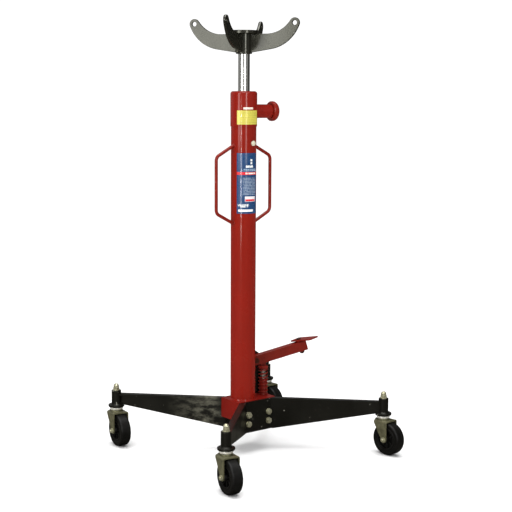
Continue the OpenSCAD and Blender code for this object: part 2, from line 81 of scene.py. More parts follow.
SWIVEL = {
    "front": (NEAR, MID - LEG_REACH),
    "right": (MID + LEG_REACH, 2 * MID - NEAR),
    "back": (2 * MID - NEAR, MID + LEG_REACH),
    "left": (MID - LEG_REACH, NEAR),
}


def shift(x, y, z):
    return Matrix.Translation((x, y, z))


def turn(degrees, axis):
    return Matrix.Rotation(math.radians(degrees), 4, axis)


IN_BLOCK = turn(BLOCK_YAW, "Z") @ shift(BLOCK_SHIFT, 0, 0)
ON_PUMP = shift(*PUMP, 0)
IN_KNOB = shift(0, 0, KNOB_Z) @ turn(KNOB_YAW, "Z") @ turn(90, "Y")


def on_swivel(side):
    return shift(*SWIVEL[side], 0)


def in_caster(side):
    return on_swivel(side) @ turn(CASTER_YAW[side], "Z")


def on_axle(side):
    return in_caster(side) @ shift(TRAIL, 0, AXLE_Z) @ turn(90, "X")


# ---------------------------------------------------------------- materials


def linear(r, g, b):
    """An 8-bit screen colour as scene-linear values."""
    out = []
    for c in (r / 255, g / 255, b / 255):
        out.append(c / 12.92 if c <= 0.04045 else ((c + 0.055) / 1.055) ** 2.4)
    return (*out, 1.0)


class Graph:
    """A material's node tree, new under a name or one already made, with short calls for its nodes."""

    def __init__(self, material):
        if isinstance(material, str):
            material = bpy.data.materials.new(material)
            material.use_nodes = True
        self.mat, self.tree = material, material.node_tree
        self.bsdf = self.tree.nodes["Principled BSDF"]
        self.coord = self.tree.nodes.new("ShaderNodeTexCoord").outputs["Object"]

    def put(self, socket, value):
        if isinstance(value, bpy.types.NodeSocket):
            self.tree.links.new(value, socket)
        else:
            socket.default_value = value

    def node(self, kind, out, **inputs):
        n = self.tree.nodes.new(kind)
        for key, value in inputs.items():
            self.put(n.inputs[key.replace("_", " ")], value)
        return n.outputs[out]

    def math(self, op, a, b=0.0, c=0.0):
        n = self.tree.nodes.new("ShaderNodeMath")
        n.operation = op
        for i, v in enumerate((a, b, c)):
            self.put(n.inputs[i], v)
        return n.outputs[0]

    def scaled(self, size):
        return self.node("ShaderNodeMapping", "Vector", Vector=self.coord, Scale=size)

    def noise(self, scale, detail=4.0, rough=0.55, where=None):
        return self.node(
            "ShaderNodeTexNoise", "Fac", Vector=where or self.coord, Scale=scale, Detail=detail,
            Roughness=rough,
        )

    def span(self, value, low, high, to_low, to_high):
        n = self.tree.nodes.new("ShaderNodeMapRange")
        for i, v in enumerate((value, low, high, to_low, to_high)):
            self.put(n.inputs[i], v)
        return n.outputs[0]

    def mix(self, factor, a, b):
        n = self.tree.nodes.new("ShaderNodeMix")
        n.data_type = "RGBA"
        self.put(n.inputs[0], factor)
        self.put(n.inputs[6], a)
        self.put(n.inputs[7], b)
        return n.outputs[2]

    def bump(self, height, depth):
        """Height 0 to 1 over a depth in metres."""
        return self.node("ShaderNodeBump", 0, Height=height, Distance=depth)

    def finish(self, **sockets):
        for key, value in sockets.items():
            self.put(self.bsdf.inputs[key.replace("_", " ")], value)
        return self.mat


RED_SHEEN = (1.0, 0.55, 0.42, 1.0)
LEG_SHEEN = (1.0, 0.98, 0.86, 1.0)
SADDLE_SHEEN = (1.0, 1.0, 0.84, 1.0)
CHIPPED_STEEL = linear(150, 148, 138)
LEG_BLACK, LEG_BLACK_2 = linear(8, 7, 5), linear(12, 11, 8)
DUST = linear(96, 66, 54)


def paint(name, base, dark, rough=0.32, coat=0.5, peel=1.2e-5, chips=None, spec=0.2, chip_at=0.735,
          sheen=RED_SHEEN):
    """Sprayed gloss paint: orange peel, faint dust and shade changes, and a few chips down to metal."""
    g = Graph(name)
    cloud = g.noise(9.0, 5.0)
    streak = g.noise(1.0, 3.0, where=g.scaled((60, 60, 5)))
    shade = g.span(g.math("ADD", cloud, g.math("MULTIPLY", streak, 0.5)), 0.55, 0.95, 0.0, 1.0)
    colour = g.mix(shade, base, dark)
    speck = g.noise(140.0, 2.0)
    colour = g.mix(g.span(speck, 0.7, 0.82, 0.0, 0.15), colour, DUST)
    roughness = g.span(cloud, 0.3, 0.7, rough - 0.06, rough + 0.1)
    fine = g.noise(420.0, 2.0)
    broad = g.noise(55.0, 2.0)
    height = g.math("ADD", g.math("MULTIPLY", fine, 0.5), broad)
    if chips:
        spots = g.noise(75.0, 6.0, 0.7)
        mask = g.span(spots, chip_at, chip_at + 0.015, 0.0, 1.0)
        colour = g.mix(mask, colour, chips)
        roughness = g.math("MAXIMUM", roughness, g.math("MULTIPLY", mask, 0.6))
        height = g.math("SUBTRACT", height, mask)
    return g.finish(
        Base_Color=colour, Roughness=roughness, Coat_Weight=coat, Coat_Roughness=0.1,
        Coat_Tint=sheen, Specular_Tint=sheen, Specular_IOR_Level=spec, Normal=g.bump(height, peel),
    )


def black_with_painted_highlight(name):
    """Leg paint with a painted highlight: a lighter mottled patch, in place of a reflected light, on the face
    of the left leg nearest the block.
    """
    g = Graph(paint(name, LEG_BLACK, LEG_BLACK_2, rough=0.34, coat=0.1, peel=3e-5, chips=CHIPPED_STEEL,
                    spec=0.22, chip_at=0.68, sheen=LEG_SHEEN))
    parts = g.tree.nodes.new("ShaderNodeSeparateXYZ")
    g.put(parts.inputs[0], g.coord)
    x = parts.outputs[0]
    # Painted highlight: a lighter grey mottle, mixed into the black near the block, stands for light
    # reflected off the leg.
    highlight_zone = g.math("MULTIPLY", g.span(x, -0.24, -0.12, 0.0, 1.0), g.span(x, -0.09, -0.06, 1.0, 0.0))
    highlight_mottle = g.span(g.noise(1.0, 6.0, 0.7, where=g.scaled((26, 26, 60))), 0.42, 0.66, 0.0, 1.0)
    strength = g.math("MULTIPLY", g.math("MULTIPLY", highlight_zone, highlight_mottle), 0.55)
    black = g.bsdf.inputs["Base Color"].links[0].from_socket
    return g.finish(Base_Color=g.mix(strength, black, linear(128, 126, 110)))


def metal(name, base, other, rough=0.3, grain=(40, 40, 40), mottled=30.0, depth=1.5e-5, metallic=1.0,
          stains=None):
    """Bare, plated or machined metal: directional grain, plating blotches and stains."""
    g = Graph(name)
    lines = g.noise(1.0, 5.0, 0.6, where=g.scaled(grain))
    blotch = g.noise(mottled, 4.0)
    colour = g.mix(g.span(blotch, 0.35, 0.65, 0.0, 1.0), base, other)
    if stains:
        spots = g.noise(mottled * 0.6, 6.0, 0.7)
        colour = g.mix(g.span(spots, 0.6, 0.72, 0.0, 0.7), colour, stains)
    roughness = g.span(g.math("ADD", lines, blotch), 0.7, 1.3, rough - 0.08, rough + 0.12)
    return g.finish(
        Base_Color=colour, Metallic=metallic, Roughness=roughness, Normal=g.bump(lines, depth),
    )


def rubber(name, base, rough=0.6, depth=6e-5, scuff=linear(60, 58, 52), spec=0.5):
    """Rubber or moulded plastic: fine grit, with dusty and scuffed patches."""
    g = Graph(name)
    dust = g.noise(45.0, 6.0, 0.65)
    colour = g.mix(g.span(dust, 0.5, 0.75, 0.0, 0.35), base, scuff)
    grit = g.noise(700.0, 3.0)
    return g.finish(
        Base_Color=colour, Roughness=g.span(dust, 0.3, 0.7, rough - 0.08, rough + 0.12),
        Specular_IOR_Level=spec, Normal=g.bump(grit, depth),
    )


MAST_RED = paint("red_column_paint", linear(130, 29, 19), linear(122, 26, 17), rough=0.26, coat=0.45,
                 spec=0.12)
BLOCK_RED = paint("red_block_paint", linear(118, 22, 15), linear(102, 18, 13), rough=0.42, coat=0.2,
                  chips=linear(70, 40, 34))
HANDLE_RED = paint("red_handle_paint", linear(128, 30, 20), linear(114, 25, 17), rough=0.36, coat=0.3,
                   chips=linear(90, 60, 50))
PEDAL_RED = paint("red_pedal_paint", linear(114, 25, 17), linear(100, 21, 14), rough=0.4, coat=0.2,
                  chips=linear(84, 54, 44))
SPRING_RED = paint("red_spring_paint", linear(128, 30, 22), linear(108, 24, 18), rough=0.4, coat=0.15)
BLACK = paint("black_leg_paint", LEG_BLACK, LEG_BLACK_2, rough=0.34, coat=0.1, peel=3e-5,
              chips=CHIPPED_STEEL, spec=0.22, chip_at=0.66, sheen=LEG_SHEEN)
# Black leg paint with a painted highlight on the left leg.
BLACK_WITH_PAINTED_HIGHLIGHT = black_with_painted_highlight("leg_paint_with_painted_highlight")
SADDLE_BLACK = paint("black_saddle_paint", linear(17, 16, 12), linear(24, 23, 18), rough=0.25, coat=0.31,
                     peel=3e-6, spec=0.45, sheen=SADDLE_SHEEN)
ZINC = metal("zinc_plated_steel", linear(196, 194, 168), linear(164, 160, 130), rough=0.3, mottled=90.0,
             stains=linear(112, 106, 80), metallic=0.75)
DARK_PIN = metal("dark_pin_steel", linear(96, 60, 50), linear(78, 44, 36), rough=0.4, mottled=90.0)
STEEL = metal("stem_steel", linear(176, 172, 158), linear(150, 146, 130), rough=0.32, mottled=60.0)
BRIGHT = metal("bright_race_steel", linear(236, 234, 226), linear(216, 212, 200), rough=0.2,
               grain=(30, 30, 900), metallic=0.45)
CHROME = metal("ram_chrome", linear(222, 222, 218), linear(214, 214, 208), rough=0.19, grain=(40, 40, 3),
               mottled=12.0, depth=1e-7)
CYLINDER = metal("cylinder_steel", linear(150, 150, 152), linear(128, 128, 130), rough=0.35,
                 grain=(20, 20, 400))
BRONZE = metal("gland_bronze", linear(180, 140, 84), linear(160, 120, 70), rough=0.35,
               grain=(20, 20, 500))
IRON = metal("piston_iron", linear(96, 96, 98), linear(80, 80, 82), rough=0.45, grain=(20, 20, 500))
GALVANISED = metal("galvanised_fork_steel", linear(128, 125, 96), linear(96, 94, 70), rough=0.36,
                   grain=(120, 120, 120), mottled=70.0, metallic=0.65, stains=linear(88, 70, 52),
                   depth=3e-5)
SEAL = rubber("seal_rubber", linear(22, 22, 22))
TYRE = rubber("tyre_rubber", linear(9, 8, 6), rough=0.42, scuff=linear(26, 25, 20), spec=0.18)
HUB_BLACK = rubber("wheel_hub_plastic", linear(11, 10, 8), rough=0.4, depth=3e-5,
                   scuff=linear(26, 25, 20), spec=0.25)
PLUG_WHITE = rubber("plug_plastic", linear(196, 190, 168), rough=0.4, depth=2e-5,
                    scuff=linear(158, 160, 138))


def label_graph(name):
    """A label's graph, with its height in millimetres and its direction round the column in degrees."""
    g = Graph(name)
    parts = g.tree.nodes.new("ShaderNodeSeparateXYZ")
    g.put(parts.inputs[0], g.coord)
    high = g.math("MULTIPLY", parts.outputs[2], 1000.0)
    round_it = g.math("DEGREES", g.math("ARCTAN2", parts.outputs[1], parts.outputs[0]))
    return g, high, round_it


def inside(g, value, low, high):
    """One between two values, nought elsewhere."""
    return g.math("MULTIPLY", g.math("GREATER_THAN", value, low), g.math("LESS_THAN", value, high))


def patch(g, high, round_it, z0, z1, a0, a1):
    """A mask of one box on a label."""
    return g.math("MULTIPLY", inside(g, high, z0, z1), inside(g, round_it, a0, a1))


def dashes(g, high, z0, step, share, breaks=0.47):
    """Rows of broken bars that stand for lines of small print."""
    row = g.math("FRACT", g.math("DIVIDE", g.math("SUBTRACT", high, z0), step))
    gaps = g.noise(1.0, 2.0, 0.5, where=g.scaled((420, 420, 1000 / step)))
    return g.math("MULTIPLY", g.math("LESS_THAN", row, share), g.math("GREATER_THAN", gaps, breaks))


def print_lines(g, high, at, box, step, share, breaks, low=None):
    """A mask of broken bars inside a box of heights and directions."""
    rows = dashes(g, high, box[0] if low is None else low, step, share, breaks)
    return g.math("MULTIPLY", patch(g, high, at, *box), rows)


def faded(g, mask, strength):
    """A mask made weaker all over."""
    return g.math("MULTIPLY", mask, strength)


def column_label():
    """A blue sign with a red band, a title block and rows of blank bars in place of its print."""
    g, high, at = label_graph("blue_column_label")
    white, red = linear(232, 234, 232), linear(214, 30, 44)
    colour = g.mix(g.noise(14.0), linear(16, 66, 114), linear(12, 54, 98))
    for box in ((880, 897, -50, -40), (870, 878, -72, -36)):
        colour = g.mix(print_lines(g, high, at, box, 8.5, 0.75, 0.36), colour, white)
    subtitle = print_lines(g, high, at, (859, 867.5, -82, -14), 4.2, 0.55, 0.4, 859.5)
    colour = g.mix(faded(g, subtitle, 0.75), colour, linear(180, 205, 225))
    colour = g.mix(inside(g, high, 848.5, 856.8), colour, red)
    on_red = print_lines(g, high, at, (850.5, 855, -74, -18), 9.0, 0.6, 0.4)
    colour = g.mix(on_red, colour, linear(240, 225, 215))
    body_text = print_lines(g, high, at, (789, 842, -86, -20), 4.4, 0.58, 0.42)
    colour = g.mix(faded(g, body_text, 0.55), colour, linear(176, 190, 204))
    colour = g.mix(patch(g, high, at, 769, 784.5, -76, -22), colour, linear(226, 222, 224))
    colour = g.mix(patch(g, high, at, 770, 776, -74, -24), colour, red)
    marks = print_lines(g, high, at, (752, 762, -108, -58), 11.0, 0.85, 0.5)
    colour = g.mix(marks, colour, white)
    colour = g.mix(patch(g, high, at, 739, 745.6, -106, -36), colour, linear(244, 244, 242))
    return g.finish(
        Base_Color=colour, Roughness=g.span(g.noise(60.0), 0.3, 0.7, 0.22, 0.36), Coat_Weight=0.5,
        Coat_Roughness=0.1, Normal=g.bump(g.noise(300.0, 2.0), 8e-6),
    )


def notice_label():
    """A yellow notice with a pale strip along its top and faint bars in place of its print."""
    g, high, at = label_graph("yellow_collar_label")
    strip_low, bars_low = 1039.5, 1041.5
    colour = g.mix(g.noise(30.0), linear(206, 196, 76), linear(196, 186, 66))
    lines = print_lines(g, high, at, (1001, 1034, -96, -18), 5.2, 0.4, 0.46)
    colour = g.mix(faded(g, lines, 0.4), colour, linear(120, 110, 40))
    colour = g.mix(g.math("GREATER_THAN", high, strip_low), colour, linear(238, 228, 214))
    above = g.math("GREATER_THAN", high, bars_low)
    bars = g.math("MULTIPLY", above, dashes(g, high, bars_low, 6.0, 0.5, 0.5))
    colour = g.mix(faded(g, bars, 0.45), colour, linear(190, 120, 100))
    return g.finish(
        Base_Color=colour, Roughness=g.span(g.noise(60.0), 0.3, 0.7, 0.3, 0.42), Coat_Weight=0.3,
        Normal=g.bump(g.noise(300.0, 2.0), 8e-6),
    )


# ---------------------------------------------------------------- mesh building


def arc(cx, cy, r, start, end, n):
    """Points round a circle from one angle to another, in degrees."""
    angles = [math.radians(start + (end - start) * i / n) for i in range(n + 1)]
    return [(cx + r * math.cos(t), cy + r * math.sin(t)) for t in angles]


def filleted(points, radius, closed=True, n=4):
    """A polygon with its corners rounded, each by the same radius or by its own."""
    out = []
    count = len(points)
    for i, point in enumerate(points):
        r = radius[i] if isinstance(radius, (list, tuple)) else radius
        if r <= 0 or (not closed and i in (0, count - 1)):
            out.append(tuple(point))
            continue
        corner = Vector(point)
        back = Vector(points[i - 1]) - corner
        ahead = Vector(points[(i + 1) % count]) - corner
        room = 0.45 * min(back.length, ahead.length)
        back.normalize()
        ahead.normalize()
        half = math.acos(max(-1.0, min(1.0, back.dot(ahead)))) / 2
        if half > 1.52 or half < 0.03:
            out.append(tuple(corner))
            continue
        cut = min(r / math.tan(half), room)
        real = cut * math.tan(half)
        centre = corner + (back + ahead).normalized() * (real / math.sin(half))
        start, end = corner + back * cut - centre, corner + ahead * cut - centre
        swing = start.angle_signed(end)
        for k in range(n + 1):
            t = -swing * k / n
            x = start.x * math.cos(t) - start.y * math.sin(t)
            y = start.x * math.sin(t) + start.y * math.cos(t)
            out.append(tuple(centre + Vector((x, y))))
    return out


def braced(profile, closed, inset=0.3, shortest=2.5):
    """A turned profile with a point just inside each end of its long lines, so that they shade straight."""
    out = []
    for i, (r, z) in enumerate(profile):
        out.append((r, z))
        if i < len(profile) - 1 or closed:
            next_r, next_z = profile[(i + 1) % len(profile)]
            length = math.hypot(next_r - r, next_z - z)
            if length > shortest:
                for t in (inset / length, 1 - inset / length):
                    out.append((r + (next_r - r) * t, z + (next_z - z) * t))
    return out


class Shape:
    """Points in millimetres and faces, gathered from several solids into one piece."""

    def __init__(self):
        self.points, self.faces = [], []

    def add(self, points, faces, place=None):
        """Adds a solid, moved to its place."""
        base = len(self.points)
        place = place or Matrix.Identity(4)
        self.points += [place @ Vector(p) for p in points]
        self.faces += [tuple(i + base for i in f) for f in faces]
        return self

    def spin(self, profile, n=96, place=None, closed=False):
        """Turns (radius, height) points about Z. A closed profile makes a ring."""
        points, faces, rows = [], [], []
        for r, z in braced(profile, closed):
            if r < 1e-6:
                rows.append([len(points)] * n)
                points.append((0, 0, z))
            else:
                rows.append(list(range(len(points), len(points) + n)))
                points += [(x, y, z) for x, y in arc(0, 0, r, 0, 360, n)[:-1]]
        pairs = list(zip(rows, rows[1:])) + ([(rows[-1], rows[0])] if closed else [])
        for low, high in pairs:
            for i in range(n):
                j = (i + 1) % n
                face = []
                for v in (low[i], low[j], high[j], high[i]):
                    if v not in face:
                        face.append(v)
                if len(face) > 2:
                    faces.append(tuple(face))
        return self.add(points, faces, place)

    def sweep(self, path, radius, n=16, place=None, closed=False):
        """A round bar along a path, with flat ends. Radius is a number or one a point."""
        path = [Vector(p) for p in path]
        count = len(path)
        radii = radius if isinstance(radius, (list, tuple)) else [radius] * count
        points, faces = [], []
        tangents = []
        for i in range(count):
            before = path[i - 1] if closed or i else path[0]
            after = path[(i + 1) % count] if closed or i < count - 1 else path[-1]
            tangents.append((after - before).normalized())
        side = tangents[0].orthogonal().normalized()
        for i in range(count):
            if i:
                side = tangents[i - 1].rotation_difference(tangents[i]) @ side
            up = tangents[i].cross(side).normalized()
            for k in range(n):
                a = TAU * k / n
                points.append(path[i] + (side * math.cos(a) + up * math.sin(a)) * radii[i])
        for i in range(count if closed else count - 1):
            a, b = i * n, ((i + 1) % count) * n
            for k in range(n):
                m = (k + 1) % n
                faces.append((a + k, a + m, b + m, b + k))
        if not closed:
            faces.append(tuple(reversed(range(n))))
            faces.append(tuple(range((count - 1) * n, count * n)))
        return self.add(points, faces, place)

    def plate(self, outline, thick, edge=0.8, holes=(), place=None):
        """A flat plate on the XY plane, centred in Z, with rounded edges. Outline runs anticlockwise."""
        loops = [list(outline)] + [list(h) for h in holes]
        half, nearly = thick / 2, edge * 0.3
        upper = [(half - edge, 0.0), (half - nearly, nearly), (half, edge), (half, edge + 0.2)]
        rings = [(-z, inset) for z, inset in reversed(upper)] + upper
        points, faces, ends = [], [], ([], [])
        for loop in loops:
            count = len(loop)
            along = [(Vector(loop[(i + 1) % count]) - Vector(loop[i - 1])).normalized() for i in range(count)]
            starts = []
            for z, inset in rings:
                starts.append(len(points))
                points += [(x - d.y * inset, y + d.x * inset, z) for (x, y), d in zip(loop, along)]
            for a, b in zip(starts, starts[1:]):
                for i in range(count):
                    j = (i + 1) % count
                    faces.append((a + i, a + j, b + j, b + i))
            ends[0].append((starts[0], count))
            ends[1].append((starts[-1], count))
        for is_top, spans in enumerate(ends):
            index = [s + i for s, c in spans for i in range(c)]
            flat = [[Vector((points[s + i][0], points[s + i][1], 0)) for i in range(c)] for s, c in spans]
            for tri in tessellate_polygon(flat):
                face = tuple(index[i] for i in tri)
                a, b, c = (Vector(points[i]) for i in face)
                faces_up = (b - a).cross(c - a).z > 0
                faces.append(face if faces_up == bool(is_top) else face[::-1])
        return self.add(points, faces, place)

    def hex_head(self, across, height, place=None, n=72):
        """A bolt or nut head with its corners turned off at 28 degrees."""
        flat = across / 2
        rim = flat * 0.94
        rows = [[], [], [], []]
        for i in range(n):
            a = TAU * i / n
            corner = flat / math.cos((a + math.pi / 6) % (math.pi / 3) - math.pi / 6)
            low = (corner - rim) * math.tan(math.radians(28))
            profile = ((corner, 0.0), (corner, height - low), (rim, height), (rim - 0.5, height + 0.05))
            for row, (r, z) in zip(rows, profile):
                row.append((r * math.cos(a), r * math.sin(a), z))
        points = [p for row in rows for p in row]
        faces = [tuple(reversed(range(n)))]
        for k in range(3):
            for i in range(n):
                j = (i + 1) % n
                faces.append((k * n + i, k * n + j, (k + 1) * n + j, (k + 1) * n + i))
        faces.append(tuple(range(3 * n, 4 * n)))
        return self.add(points, faces, place)

    def turned(self, corners, radii, n=96, place=None, closed=False, steps=4):
        """A turned solid, from a profile with its corners rounded."""
        return self.spin(filleted(corners, radii, closed, steps), n, place, closed)

    def washer(self, low, radius, thick, edge, place, n=48):
        """A flat round disc from one height up."""
        corners = [(0, low), (radius, low), (radius, low + thick), (0, low + thick)]
        return self.turned(corners, edge, n, place)

    def piece(self, name, body, material, slot, stands_for=(), smooth=32):
        """Makes the piece in Blender, on its body and in the place of its CAD nodes; the slot is not used."""
        mesh = bpy.data.meshes.new(name)
        mesh.from_pydata([p * MM for p in self.points], [], self.faces)
        mesh.validate()
        mesh.polygons.foreach_set("use_smooth", [True] * len(mesh.polygons))
        mesh.set_sharp_from_angle(angle=math.radians(smooth))
        mesh.materials.append(material)
        obj = bpy.data.objects.new(name, mesh)
        bpy.context.scene.collection.objects.link(obj)
        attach(obj, body)
        if stands_for:
            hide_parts(*stands_for)
        return obj


def coat(node, material):
    """Gives a CAD node its finish."""
    obj = NODES[node]
    obj.data.materials.clear()
    obj.data.materials.append(material)
    return obj


def round_edges(obj, width, segments, angle):
    """Bevels the edges that are sharper than an angle."""
    bevel = obj.modifiers.new("edges", "BEVEL")
    bevel.width = width * MM
    bevel.segments = segments
    bevel.limit_method = "ANGLE"
    bevel.angle_limit = math.radians(angle)
    return bevel


def dress(node, material, bevel):
    """Gives a CAD node its finish and rounds its edges."""
    obj = coat(node, material)
    obj.modifiers.new("weld", "WELD").merge_threshold = 1e-5
    if bevel:
        round_edges(obj, bevel, 3, 35).harden_normals = True


# ---------------------------------------------------------------- base

dress("base_block", BLOCK_RED, 1.6)
dress("tie_bar", BLACK, 1.0)
dress("leg_pair_front", BLACK, 0.9)
# The left leg of this pair carries the painted highlight.
dress("leg_pair_back", BLACK_WITH_PAINTED_HIGHLIGHT, 0.9)


def leg_bolts():
    """Eight bolts with washers, each turned to where its spanner left it."""
    bolts = Shape()
    washer_t, shank_r = 1.5, 5.0
    for side in (0, 180):
        for x in (-BOLT_X, BOLT_X):
            for z in BOLT_ROWS:
                at = IN_BLOCK @ turn(side, "Z") @ shift(x, -BOLT_FACE, z) @ turn(90, "X")
                spanner = turn((x * 7 + z * 3 + side) % 60, "Z")
                bolts.washer(0, 9.8, washer_t, 0.35, at)
                bolts.hex_head(16.5, 5.8, at @ shift(0, 0, washer_t) @ spanner)
                bolts.spin([(0, -30), (4.2, -30), (shank_r, -29), (shank_r, 0.5), (0, 0.5)], 32, at)
    bolts.piece("leg_bolt_set", "base", ZINC, "bolt_zinc", ["leg_bolts"])


def leg_ends():
    """The sleeve, stem, cap nut and bearing race at the end of every leg."""
    sleeves, stems, nuts, races = Shape(), Shape(), Shape(), Shape()
    bore = STEM_R + FIT
    head_low, head_top, head_r = 98.7, 100.7, 9.0
    washer_t, nut_h, dome_r, dome_z = 2.0, 7.5, 8.3, 184.0
    flange = SLEEVE_LOW + 7.5
    race_top = SLEEVE_LOW - 0.1
    race_mid = RACE_LOW + 4
    for side in SIDES:
        at = on_swivel(side)
        sleeves.turned([(bore, SLEEVE_LOW), (WASHER_R - 2, SLEEVE_LOW), (WASHER_R, SLEEVE_LOW + 2),
                        (WASHER_R, flange), (SLEEVE_R + 3, flange), (SLEEVE_R, flange + 3),
                        (SLEEVE_R, SLEEVE_TOP), (bore, SLEEVE_TOP)],
                       [0, 0, 1.5, 1.2, 2, 2, 1.2, 0.5], 72, at, True)
        stems.spin([(0, head_low), (head_r - 0.6, head_low), (head_r, head_low + 0.6), (head_r, head_top),
                    (STEM_R, head_top), (STEM_R, 179), (STEM_R - 0.8, 180), (0, 180)], 48, at)
        nuts.washer(SLEEVE_TOP, 11, washer_t, 0.4, at)
        spanner = turn(SWIVEL[side][0] % 60, "Z")
        nuts.hex_head(18, nut_h, at @ spanner @ shift(0, 0, SLEEVE_TOP + washer_t))
        nuts.spin([(dome_r, SLEEVE_TOP + washer_t + nut_h - 1)] + arc(0, dome_z, dome_r, 0, 90, 10), 48, at)
        races.turned([(bore, RACE_LOW), (RACE_R - 2, RACE_LOW), (RACE_R - 0.5, RACE_LOW + 1),
                      (RACE_R, race_mid), (RACE_R - 0.5, race_mid + 3), (RACE_R - 2, race_top),
                      (bore, race_top)], 0.8, 72, at, True)
    sleeves.piece("sleeve_set", "base", BLACK, "black_paint", ["leg_sleeves"])
    stems.piece("stem_set", "base", STEEL, "stem_steel", ["caster_stems"])
    nuts.piece("acorn_nut_set", "base", ZINC, "bolt_zinc", ["acorn_nuts"])
    races.piece("race_set", "base", BRIGHT, "bright_steel", ["bearing_races"])


leg_bolts()
leg_ends()

# ---------------------------------------------------------------- column


def column():
    """The column tube with its weld to the block, the collar over its top and the wiper round the ram."""
    inner = MAST_R - MAST_WALL
    top = COLLAR_LOW + COLLAR_LIP
    tube = Shape().spin(
        [(inner, BLOCK_TOP), (MAST_R + 1.6, BLOCK_TOP), (MAST_R + 0.9, BLOCK_TOP + 1.4),
         (MAST_R, BLOCK_TOP + 3), (MAST_R, COLLAR_LOW), (MAST_R, top - 0.5), (MAST_R - 0.5, top),
         (inner, top)], 160, None, True)
    tube.piece("column_tube", "base", MAST_RED, "mast_red", ["reservoir_tube"])

    gland_r, step, room_r, rounding = 27.5 + FIT, 1049.5, 34.5, 8.0
    low = filleted([(SEAL_R, GLAND_TOP), (gland_r, GLAND_TOP), (gland_r, step), (room_r, step), (room_r, top),
                    (MAST_R + FIT, top), (MAST_R + FIT, COLLAR_LOW), (COLLAR_R, COLLAR_LOW)],
                   [0, 0, 0, 0, 0, 0, 0.4, 0.9])
    crown = arc(COLLAR_R - rounding, COLLAR_TOP - rounding, rounding, 0, 90, 14)
    lip = [(SEAL_R + 1, COLLAR_TOP), (SEAL_R, COLLAR_TOP - 1)]
    Shape().spin(low + crown + lip, 160, None, True).piece(
        "collar_body", "base", MAST_RED, "mast_red", ["collar"])

    inside_r, outside_r, low, high = RAM_R + 0.1, SEAL_R - 0.1, GLAND_TOP + 0.2, 1092.4
    Shape().spin([(inside_r, low), (outside_r, low), (outside_r, high - 0.9), (outside_r - 0.7, high),
                  (inside_r + 1, high), (inside_r, high - 1.2)], 96, None, True).piece(
        "rod_wiper", "base", SEAL, "seal_rubber", ["wiper_seal"])


column()
for node, mat in (("pressure_cylinder", CYLINDER), ("gland_bush", BRONZE), ("piston_head", IRON),
                  ("piston_seal", SEAL), ("release_rod", STEEL)):
    dress(node, mat, 0.3)
dress("check_ball", BRIGHT, 0)
coat("mast_label", column_label())
coat("collar_label", notice_label())


def handle(name, heading, node):
    """A bent round bar with a weld bead round each end."""
    place = turn(heading, "Z")
    inside_r, rise, bend_r, bead_r = 30.0, 5.0, 18.0, 5.4
    bar = filleted([(inside_r, HANDLE_LOW - rise), (HANDLE_REACH, HANDLE_LOW + 32),
                    (HANDLE_REACH, HANDLE_TOP - 32), (inside_r, HANDLE_TOP + rise)], bend_r, False, 10)
    shape = Shape().sweep([(r, 0, z) for r, z in bar], HANDLE_R, 20, place)
    for end_z, way in ((HANDLE_LOW, 1), (HANDLE_TOP, -1)):
        ring, thickness = [], []
        for i in range(40):
            a = TAU * i / 40
            wobble = 1 + 0.06 * math.sin(7 * a + end_z)
            y, z = bead_r * wobble * math.sin(a), end_z + way * 0.4 + 6.1 * wobble * math.cos(a)
            ring.append((math.sqrt(MAST_R ** 2 - y ** 2) - 0.2, y, z))
            thickness.append(1.5 + 0.25 * math.sin(9 * a + end_z))
        shape.sweep(ring, thickness, 10, place, True)
    shape.piece(name, "base", HANDLE_RED, "handle_red", [node])


handle("front_handle", 225, "carry_handle_front")
handle("rear_handle", 45, "carry_handle_rear")


def oil_plug():
    """A round plug with a low collar, pushed in through the column's wall."""
    at = shift(0, 0, PLUG_Z) @ turn(PLUG_YAW, "Z") @ turn(90, "Y")
    stem, rim = 4.5, 7.5
    Shape().turned([(0, 33), (stem, 33), (stem, 38.8), (rim, 38.8), (rim, 43.1), (4.6, 43.6), (4.0, 45.1),
                    (0, 45.1)], [0, 0, 0, 0.8, 1.2, 0.6, 0.8, 0], 48, at).piece(
        "oil_plug", "base", PLUG_WHITE, "plug_plastic", ["filler_plug"])


def valve_boss():
    """The round boss on the collar, with its weld bead where the two round walls meet."""
    bore, end, bead_r = SPINDLE_R + FIT, BOSS_END - 0.5, BOSS_R + 0.6
    boss = Shape().turned([(bore, 36.5), (BOSS_R, 33), (BOSS_R, end), (bore, end)], [0, 0, 1.0, 0.3], 96,
                          IN_KNOB, True)
    ring, thickness = [], []
    for i in range(64):
        a = TAU * i / 64
        y = bead_r * math.sin(a)
        ring.append((bead_r * math.cos(a), y, math.sqrt(COLLAR_R ** 2 - y ** 2) - 0.1))
        thickness.append(1.5 + 0.2 * math.sin(17 * a))
    boss.sweep(ring, thickness, 10, IN_KNOB, True)
    boss.piece("valve_boss", "base", MAST_RED, "mast_red", ["knob_boss"])


oil_plug()
valve_boss()

# ---------------------------------------------------------------- release valve

Shape().turned([(0, 93.5), (26, 93.5), (29.6, 96.5), (30, 101), (29.4, 106), (26, 111.2), (21, 112.5),
                (19.6, 111.9), (9, 111.9), (0, 111.9)], [0, 2, 2, 3, 4, 4, 0.8, 0.6, 3, 0], 128, IN_KNOB,
               False, 6).piece("valve_knob", "knob", HANDLE_RED, "handle_red", ["release_knob"])
dress("release_spindle", STEEL, 0.3)

# ---------------------------------------------------------------- ram and saddle


def ram():
    """The chromed rod, with the grooved spigot that the saddle's hub sits on."""
    end = HUB_Z - 0.2
    Shape().turned([(0, RAM_LOW), (12, RAM_LOW), (12, 320.5), (RAM_R, 320.5), (RAM_R, end), (SPIGOT_R, end),
                    (SPIGOT_R, HUB_Z + 5), (SPIGOT_R - 2, HUB_Z + 5), (SPIGOT_R - 2, HUB_Z + 12),
                    (SPIGOT_R, HUB_Z + 12), (SPIGOT_R, HUB_Z + 55), (0, HUB_Z + 55)],
                   [0, 0, 0, 1, 0.8, 0, 0, 0, 0, 0, 1, 0], 128).piece(
        "ram_bar", "ram", CHROME, "ram_chrome", ["ram_rod"])


